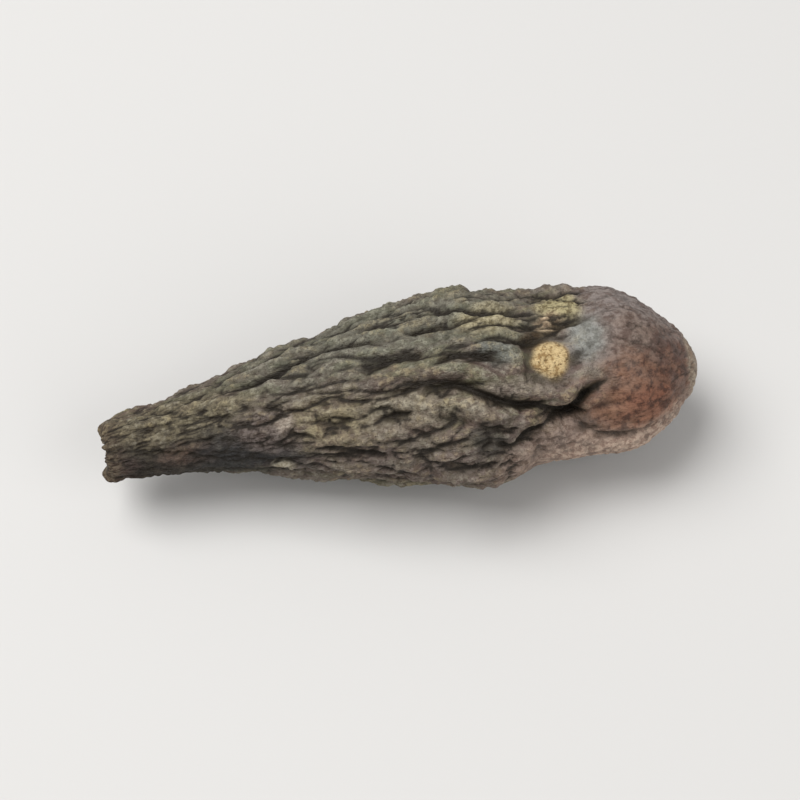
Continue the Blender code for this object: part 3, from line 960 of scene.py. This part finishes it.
    def hollows(self) -> dict[Trace, np.ndarray]:
        """Tell valleys from crests by each point's height against the average about it.

        Returns:
            How deep each point lies in a valley, how near it is to a fold's bottom line, and how
            far it stands on a crest, all 0 to 1.
        """
        wide = self.relief - self.grid.blurred(self.relief, *self.wide_window)
        near = self.relief - self.grid.blurred(self.relief, *self.near_window)
        least, start = self.level_line
        depth = np.clip(start - wide / self.line_depth, 0.0, 1.0)
        line = self.fold_bottoms() * (least + (1.0 - least) * depth)
        crest = self.crest_share * np.clip(wide / self.crest_height, 0.0, 1.0)
        fine_crest = np.clip(near / self.fine_crest_height, 0.0, 1.0)
        return {
            Trace.VALLEY: np.clip(-wide / self.valley_depth, 0.0, 1.0),
            Trace.LINE: np.clip(line, 0.0, 1.0),
            Trace.CREST: np.clip(crest + (1.0 - self.crest_share) * fine_crest, 0.0, 1.0),
        }

    def patch_mask(self, patch: Patch) -> np.ndarray:
        """Say how strongly a patch colours each point: an oval with a ragged, soft edge."""
        off, turned = self.away_from(patch.place[0], math.radians(patch.place[1]))
        off, across = off / patch.reach[0], turned * self.grid.walk[1] / patch.reach[1]
        edge = patch.ragged * self.noise.at(self.places(self.grid.theta, self.patch_edge))
        away = np.hypot(off, across) + edge
        return patch.strength * (1.0 - smooth_step(1.0 - patch.soft, 1.0 + patch.soft, away))

    def build(self) -> bpy.types.Object:
        """Make the skin's mesh, with its bake map and the values that the finish reads.

        Returns:
            The finished object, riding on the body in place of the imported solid.
        """
        quads, triangles = self.grid.faces()
        mesh = bpy.data.meshes.new(self.name)
        mesh.from_pydata(self.points().tolist(), [], [*quads.tolist(), *triangles.tolist()])
        mesh.update()
        mesh.shade_smooth()
        self.lay_map(mesh, quads, triangles)
        values = {trace.value: value for trace, value in self.hollows().items()}
        values |= {zone.value: self.zone(zone) for zone in Zone}
        values |= {patch.name: self.patch_mask(patch) for patch in PATCHES}
        for name, value in values.items():
            layer = mesh.attributes.new(name, "FLOAT", "POINT")
            layer.data.foreach_set("value", value.astype(np.float32))
        skin = bpy.data.objects.new(self.name, mesh)
        bpy.context.scene.collection.objects.link(skin)
        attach(skin, "root")
        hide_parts(self.node)
        log.info("%s: %d points, %d faces", self.name, len(mesh.vertices), len(mesh.polygons))
        return skin

    def lay_map(self, mesh: bpy.types.Mesh, quads: np.ndarray, triangles: np.ndarray) -> None:
        """Lay the skin flat in a map: turn across, walk from scar to apex up.

        A face over the seam seems to span most of the turn, so its near corners go past the end
        of the turn. A pole's corner takes the middle of its face.

        Args:
            mesh: the skin's mesh.
            quads: its four-sided faces.
            triangles: its pole faces.
        """
        turned = (self.grid.turn / (2 * math.pi) + 0.5) % 1.0
        layer = mesh.uv_layers.new(name="OFBake")
        parts = []
        for faces in (quads, triangles):
            across, up = turned[faces], self.grid.share[faces]
            pole = ((faces == 0) | (faces == faces.max())) & (faces.shape[1] == 3)
            over_seam = np.ptp(np.where(pole, 0.5, across), axis=1) > 0.6
            across = np.where(over_seam[:, None] & (across < 0.5), across + 1.0, across)
            middle = np.where(pole, 0.0, across).sum(axis=1) / np.maximum((~pole).sum(axis=1), 1)
            across = np.where(pole, middle[:, None], across)
            parts.append(np.stack([across, up], -1).reshape(-1, 2))
        layer.data.foreach_set("uv", np.vstack(parts).astype(np.float32).ravel())


class Value:
    """A number in a finish. Arithmetic on it adds Math nodes."""

    def __init__(self, shop: Shop, socket: Any) -> None:
        """Wrap a socket of a finish's nodes."""
        self.shop = shop
        self.socket = socket

    def _with(self, operation: str, *others: Any, clamp: bool = False) -> Value:
        """Add one Math node on these values.

        Args:
            operation: the node's operation.
            others: its inputs, in order.
            clamp: whether the result is kept between 0 and 1.

        Returns:
            The result.
        """
        settings = {"operation": operation, "use_clamp": clamp}
        return Value(self.shop, self.shop.node("Math", settings, dict(enumerate(others))).outputs[0])

    def __add__(self, other: Any) -> Value:
        """Add."""
        return self._with("ADD", self, other)

    __radd__ = __add__

    def __sub__(self, other: Any) -> Value:
        """Take away."""
        return self._with("SUBTRACT", self, other)

    def __rsub__(self, other: Any) -> Value:
        """Take this away from other."""
        return self._with("SUBTRACT", other, self)

    def __mul__(self, other: Any) -> Value:
        """Multiply."""
        return self._with("MULTIPLY", self, other)

    __rmul__ = __mul__

    def __abs__(self) -> Value:
        """Drop the sign."""
        return self._with("ABSOLUTE", self)

    def clamped(self) -> Value:
        """Keep between 0 and 1."""
        return self._with("ADD", self, 0.0, clamp=True)


@dataclass(frozen=True)
class Blots:
    """Noise made into blots.

    They have a size in metres, and detail finer layers over them that are rough strong. start and
    full are the noise at which they set in and at which they are full.
    """

    size: float
    detail: float
    rough: float
    start: float
    full: float


@dataclass
class Shop:
    """The nodes of one material."""

    tree: Any

    def node(self, kind: str, settings: dict[str, Any], inputs: dict[Any, Any]) -> Any:
        """Add a shader node.

        Args:
            kind: the node's type, without its ShaderNode prefix.
            settings: properties of the node, set first.
            inputs: for each socket's name or number, a number, a colour or a link.

        Returns:
            The node.
        """
        made = self.tree.nodes.new("ShaderNode" + kind)
        for name, value in settings.items():
            setattr(made, name, value)
        for place, value in inputs.items():
            if isinstance(value, Value):
                value = value.socket
            if isinstance(value, bpy.types.NodeSocket):
                self.tree.links.new(value, made.inputs[place])
            else:
                made.inputs[place].default_value = value
        return made

    def mask(self, kept: str | Zone | Trace) -> Value:
        """Read a value that the piece keeps on its points, under a name or an option's name."""
        name = kept.value if isinstance(kept, Enum) else kept
        return Value(self, self.node("Attribute", {"attribute_name": name}, {}).outputs["Fac"])

    def mix(self, share: Any, first: Any, second: Any, blend: str = "MIX") -> Any:
        """Mix two colours.

        Args:
            share: how much of the second, 0 to 1.
            first: a colour or a link.
            second: a colour or a link.
            blend: the way of mixing.

        Returns:
            The mixed colour's socket.
        """
        settings = {"data_type": "RGBA", "blend_type": blend}
        inputs = {0: share, 6: opaque(first), 7: opaque(second)}
        return self.node("Mix", settings, inputs).outputs[2]

    def grain(self, place: Any, size: float, detail: float = 3.0, rough: float = 0.55) -> Value:
        """Read noise whose blots are about this size.

        Args:
            place: the coordinates' socket.
            size: a blot's size in metres.
            detail: how many finer layers lie over it.
            rough: how strong they are.

        Returns:
            The noise, 0 to 1 and mostly about a half.
        """
        inputs = {"Vector": place, "Scale": 1.0 / size, "Detail": detail, "Roughness": rough}
        return Value(self, self.node("TexNoise", {}, inputs).outputs["Fac"])

    def climb(self, value: Any, low: float, high: float) -> Value:
        """Climb smoothly from 0 where the value is low to 1 where it is high."""
        settings = {"interpolation_type": "SMOOTHSTEP", "clamp": True}
        inputs = {"Value": value, "From Min": low, "From Max": high}
        return Value(self, self.node("MapRange", settings, inputs).outputs["Result"])

    def blots(self, place: Any, blots: Blots) -> Value:
        """Strew blots: 0 between them to 1 on them."""
        noise = self.grain(place, blots.size, blots.detail, blots.rough)
        return self.climb(noise, blots.start, blots.full)


def opaque(colour: Any) -> Any:
    """Give a plain colour its alpha, and leave a link as it is."""
    return (*colour, 1.0) if isinstance(colour, tuple) and len(colour) == 3 else colour


@dataclass(frozen=True)
class DriedSkin:
    """The finish of the skin: dull, with dust and painted highlight on the crests and painted shade in
    the valleys.
    """

    olive: Colour = (0.104, 0.092, 0.052)
    mauve: Colour = (0.098, 0.062, 0.051)
    # Crest colours: partly the dust's own hue, partly painted highlight.
    grey_dust_highlight: Colour = (0.355, 0.34, 0.272)
    ochre_dust_highlight: Colour = (0.395, 0.325, 0.18)
    # Painted shade: the next colour darkens the broad valleys, the one after it the bottom lines of
    # folds and creases.
    painted_hollow_shade: Colour = (0.025, 0.018, 0.008)
    valley: Colour = (0.012, 0.008, 0.004)
    cap: Colour = (0.205, 0.156, 0.13)
    cap_stain: Colour = (0.112, 0.072, 0.054)
    scar: Colour = (0.125, 0.096, 0.062)
    scar_stain: Colour = (0.05, 0.03, 0.018)
    pores: Colour = (0.034, 0.024, 0.018)
    stretch: Spot = (0.38, 1.0, 1.0)

    hues: Blots = Blots(0.0008, 4.0, 0.65, 0.38, 0.58)
    cap_blots: Blots = Blots(0.0006, 5.0, 0.7, 0.4, 0.62)
    patch_blots: Blots = Blots(0.0003, 4.0, 0.68, 0.42, 0.6)
    scar_fibres: Blots = Blots(0.00018, 3.0, 0.7, 0.4, 0.62)
    dust_highlight_flecks: Blots = Blots(0.00028, 3.0, 0.7, 0.46, 0.57)
    dust_highlight_hues: Blots = Blots(0.0016, 4.0, 0.65, 0.44, 0.6)
    specks: Blots = Blots(0.00013, 2.0, 0.6, 0.57, 0.68)
    strokes: Blots = Blots(0.0005, 3.0, 0.7, 0.52, 0.62)

    # Shares of each layer of colour. A cap loss is what is taken away from it on the cap.
    # The next three set how much dust and painted highlight the crests get.
    plain_dust_highlight: float = 0.16
    fleck_dust_highlight: float = 0.66
    dust_highlight_cap_loss: float = 0.7
    # The painted highlight: its share of the crests' lightening, and how much the skin's own colour is
    # raised for it.
    highlight_share: float = 0.5
    highlight_gain: Colour = (2.0, 2.0, 2.0)
    speck_share: float = 0.5
    speck_cap_loss: float = 0.3
    stroke_share: float = 0.38
    # How much painted shade the valleys and the bottom lines get.
    valley_shade_share: float = 0.9
    valley_shade_cap_loss: float = 0.55
    line_shade_climb: tuple[float, float] = (0.1, 0.85)
    line_shade_share: float = 0.9

    roughness: float = 0.52
    crest_roughness: float = 0.24
    smear_roughness: float = 0.16
    cap_polish: float = 0.08
    smear_size: float = 0.0004
    specular: float = 0.3

    bump_height: float = 0.00005
    crack_size: float = 0.00024
    crack_width: float = 0.16
    crack_share: float = 0.3
    wrinkle_size: float = 0.0002
    wrinkle_width: float = 0.14
    wrinkle_share: float = 0.45
    grain_size: float = 0.00009
    bump_cap_loss: float = 0.45

    def zone_colour(self, shop: Shop, place: Any, long_place: Any) -> Any:
        """Colour the skin's zones: two dull hues in streaks, the cap, then the patches.

        Args:
            shop: where the nodes go.
            place: plain coordinates.
            long_place: coordinates in which a blot comes out long.

        Returns:
            The colour's socket.
        """
        colour = shop.mix(shop.blots(long_place, self.hues), self.olive, self.mauve)
        cap = shop.mix(shop.blots(place, self.cap_blots), self.cap, self.cap_stain)
        colour = shop.mix(shop.mask(Zone.CAP), colour, cap)
        sizes = sorted({patch.blot for patch in PATCHES})
        strewn = {size: shop.blots(place, replace(self.patch_blots, size=size)) for size in sizes}
        for patch in PATCHES:
            tone = shop.mix(strewn[patch.blot], patch.colour, patch.stain)
            colour = shop.mix(shop.mask(patch.name), colour, tone)
        scar = shop.mix(shop.blots(place, self.scar_fibres), self.scar_stain, self.scar)
        return shop.mix(shop.mask(Zone.SCAR), colour, scar)

    def dust_and_highlight_amount(self, shop: Shop, place: Any) -> Value:
        """Say how much dust and painted highlight the crests get: flecked, and thin on the cap and some
        patches.
        """
        flecked = self.plain_dust_highlight + self.fleck_dust_highlight * shop.blots(place, self.dust_highlight_flecks)
        much = shop.mask(Trace.CREST) * flecked * (1.0 - self.dust_highlight_cap_loss * shop.mask(Zone.CAP))
        for patch in PATCHES:
            if patch.dust_highlight < 1.0:
                much = much * (1.0 - (1.0 - patch.dust_highlight) * shop.mask(patch.name))
        return much.clamped()

    def base_colour(self, shop: Shop, place: Any, long_place: Any) -> Any:
        """Colour the skin: its zones, with dust and painted highlight on the crests, and painted shade
        in the valleys and along the fold bottoms.

        The crests' lightening is half the dust's own hue and half painted highlight: twice the skin's
        own colour.

        Args:
            shop: where the nodes go.
            place: plain coordinates.
            long_place: coordinates in which a blot comes out long.

        Returns:
            The colour's socket.
        """
        colour = self.zone_colour(shop, place, long_place)
        valley, line, on_cap = (shop.mask(name) for name in (Trace.VALLEY, Trace.LINE, Zone.CAP))
        hue = shop.mix(shop.blots(place, self.dust_highlight_hues), self.grey_dust_highlight, self.ochre_dust_highlight)
        # Painted highlight: the skin's own colour doubled, mixed half and half with the dust's hue.
        painted_highlight = shop.mix(1.0, colour, self.highlight_gain, "MULTIPLY")
        dust_and_highlight = shop.mix(self.highlight_share, hue, painted_highlight)
        colour = shop.mix(self.dust_and_highlight_amount(shop, place), colour, dust_and_highlight)
        speck = shop.blots(place, self.specks) * (self.speck_share - self.speck_cap_loss * on_cap)
        colour = shop.mix(speck, colour, self.pores)
        stroke = shop.blots(place, self.strokes) * on_cap * self.stroke_share
        colour = shop.mix(stroke, colour, self.pores)
        # Painted shade: darker in the valleys, darkest along the fold and crease bottoms.
        valley_shade = valley * (self.valley_shade_share - self.valley_shade_cap_loss * on_cap)
        colour = shop.mix(valley_shade.clamped(), colour, self.painted_hollow_shade)
        return shop.mix(shop.climb(line, *self.line_shade_climb) * self.line_shade_share, colour, self.valley)

    def bump(self, shop: Shop, place: Any, long_place: Any) -> Any:
        """Raise what is finer than the mesh: a cracked net, thin wrinkles and a fine grain.

        Args:
            shop: where the nodes go.
            place: plain coordinates.
            long_place: coordinates in which a blot comes out long.

        Returns:
            The normal's socket.
        """
        settings = {"feature": "DISTANCE_TO_EDGE"}
        inputs = {"Vector": long_place, "Scale": 1.0 / self.crack_size, "Randomness": 1.0}
        cells = Value(shop, shop.node("TexVoronoi", settings, inputs).outputs["Distance"])
        cracks = shop.climb(cells, 0.0, self.crack_width)
        wave = shop.grain(long_place, self.wrinkle_size, 2.0, 0.6) - 0.5
        wrinkles = shop.climb(abs(wave), 0.0, self.wrinkle_width)
        grain = shop.grain(place, self.grain_size, 4.0, 0.7)
        height = self.crack_share * cracks + self.wrinkle_share * wrinkles + grain
        height = height * (1.0 - self.bump_cap_loss * shop.mask(Zone.CAP))
        inputs = {"Height": height, "Distance": self.bump_height, "Strength": 1.0}
        return shop.node("Bump", {}, inputs).outputs["Normal"]

    def dress(self, piece: bpy.types.Object) -> None:
        """Put the finish on a piece.

        Args:
            piece: the piece, which keeps the values that the finish reads.
        """
        material = bpy.data.materials.new("dried_skin")
        material.use_nodes = True
        material.node_tree.nodes.clear()
        shop = Shop(material.node_tree)
        place = shop.node("TexCoord", {}, {}).outputs["Object"]
        stretched = shop.node("VectorMath", {"operation": "MULTIPLY"}, {0: place, 1: self.stretch})
        long_place = stretched.outputs[0]
        crest, on_cap = shop.mask(Trace.CREST), shop.mask(Zone.CAP)
        smear = shop.grain(place, self.smear_size, 3.0, 0.6)
        rough = self.roughness + self.crest_roughness * crest * smear - self.cap_polish * on_cap
        rough = rough + self.smear_roughness * smear
        inputs = {
            "Base Color": self.base_colour(shop, place, long_place),
            "Roughness": rough.clamped(),
            "Normal": self.bump(shop, place, long_place),
            "Specular IOR Level": self.specular,
        }
        shader = shop.node("BsdfPrincipled", {}, inputs)
        shop.node("OutputMaterial", {}, {"Surface": shader.outputs[0]})
        piece.data.materials.append(material)


@dataclass(frozen=True)
class Lamp:
    """A square soft light: where it hangs, its side in metres and its power in watts."""

    name: str
    place: Spot
    side: float
    power: float

    def hang(self) -> None:
        """Hang the light, facing the fruit."""
        lamp = bpy.data.lights.new(self.name, "AREA")
        lamp.size, lamp.energy = self.side, self.power
        light = bpy.data.objects.new(self.name, lamp)
        light.location = self.place
        light.rotation_euler = (-Vector(self.place)).to_track_quat("-Z", "Y").to_euler()
        bpy.context.scene.collection.objects.link(light)


@dataclass
class Studio:
    """A plain pale floor, soft lights and the camera."""

    floor_colour: Colour = (0.6, 0.59, 0.575)
    floor_roughness: float = 0.9
    floor_size: float = 1.2
    room_colour: Colour = (1.0, 1.0, 1.0)
    room_light: float = 0.34
    lamps: tuple[Lamp, ...] = (
        Lamp("key", (-0.15, 0.07, 0.32), 0.26, 1.42),
        Lamp("fill", (0.2, -0.22, 0.2), 0.3, 0.54),
    )
    azimuth: float = math.radians(-9.1)
    elevation: float = math.radians(60)
    distance: float = 0.098
    lens: float = 95.0
    sight: tuple[float, float] = (0.005, 5.0)
    target: Spot = (0.0, 0.0, 0.004)

    def lay_floor(self) -> None:
        """Lay the floor just under the fruit."""
        half = self.floor_size / 2.0
        mesh = bpy.data.meshes.new("floor")
        corners = [(-half, -half, 0.0), (half, -half, 0.0), (half, half, 0.0), (-half, half, 0.0)]
        mesh.from_pydata(corners, [], [(0, 1, 2, 3)])
        floor = bpy.data.objects.new("floor", mesh)
        bpy.context.scene.collection.objects.link(floor)
        material = bpy.data.materials.new("floor")
        material.use_nodes = True
        shader = material.node_tree.nodes["Principled BSDF"]
        shader.inputs["Base Color"].default_value = opaque(self.floor_colour)
        shader.inputs["Roughness"].default_value = self.floor_roughness
        mesh.materials.append(material)

    def light_room(self) -> None:
        """Give the room an even light of its own, and set how colours are shown."""
        world = bpy.data.worlds.new("room")
        world.use_nodes = True
        background = world.node_tree.nodes["Background"]
        background.inputs["Color"].default_value = opaque(self.room_colour)
        background.inputs["Strength"].default_value = self.room_light
        bpy.context.scene.world = world
        bpy.context.scene.view_settings.view_transform = "Standard"

    def set_up(self) -> None:
        """Lay the floor, hang the lights and light the room."""
        self.lay_floor()
        for lamp in self.lamps:
            lamp.hang()
        self.light_room()

    def place_camera(self) -> None:
        """Look down on the fruit from the photograph's side and height."""
        lens = bpy.data.cameras.new("camera")
        lens.lens = self.lens
        lens.clip_start, lens.clip_end = self.sight
        camera = bpy.data.objects.new("camera", lens)
        level, up = math.cos(self.elevation), math.sin(self.elevation)
        back = Vector((math.sin(self.azimuth) * level, -math.cos(self.azimuth) * level, up))
        camera.location = Vector(self.target) + back * self.distance
        camera.rotation_euler = (-back).to_track_quat("-Z", "Y").to_euler()
        bpy.context.scene.collection.objects.link(camera)
        bpy.context.scene.camera = camera


def main() -> None:
    """Build the fruit's look, the studio and the camera, in order."""
    logging.basicConfig(level=logging.INFO, format="%(name)s: %(message)s")
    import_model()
    skin = FruitSkin().build()
    DriedSkin().dress(skin)
    studio = Studio()
    studio.set_up()
    studio.place_camera()
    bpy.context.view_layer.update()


if __name__ == "__main__":
    main()
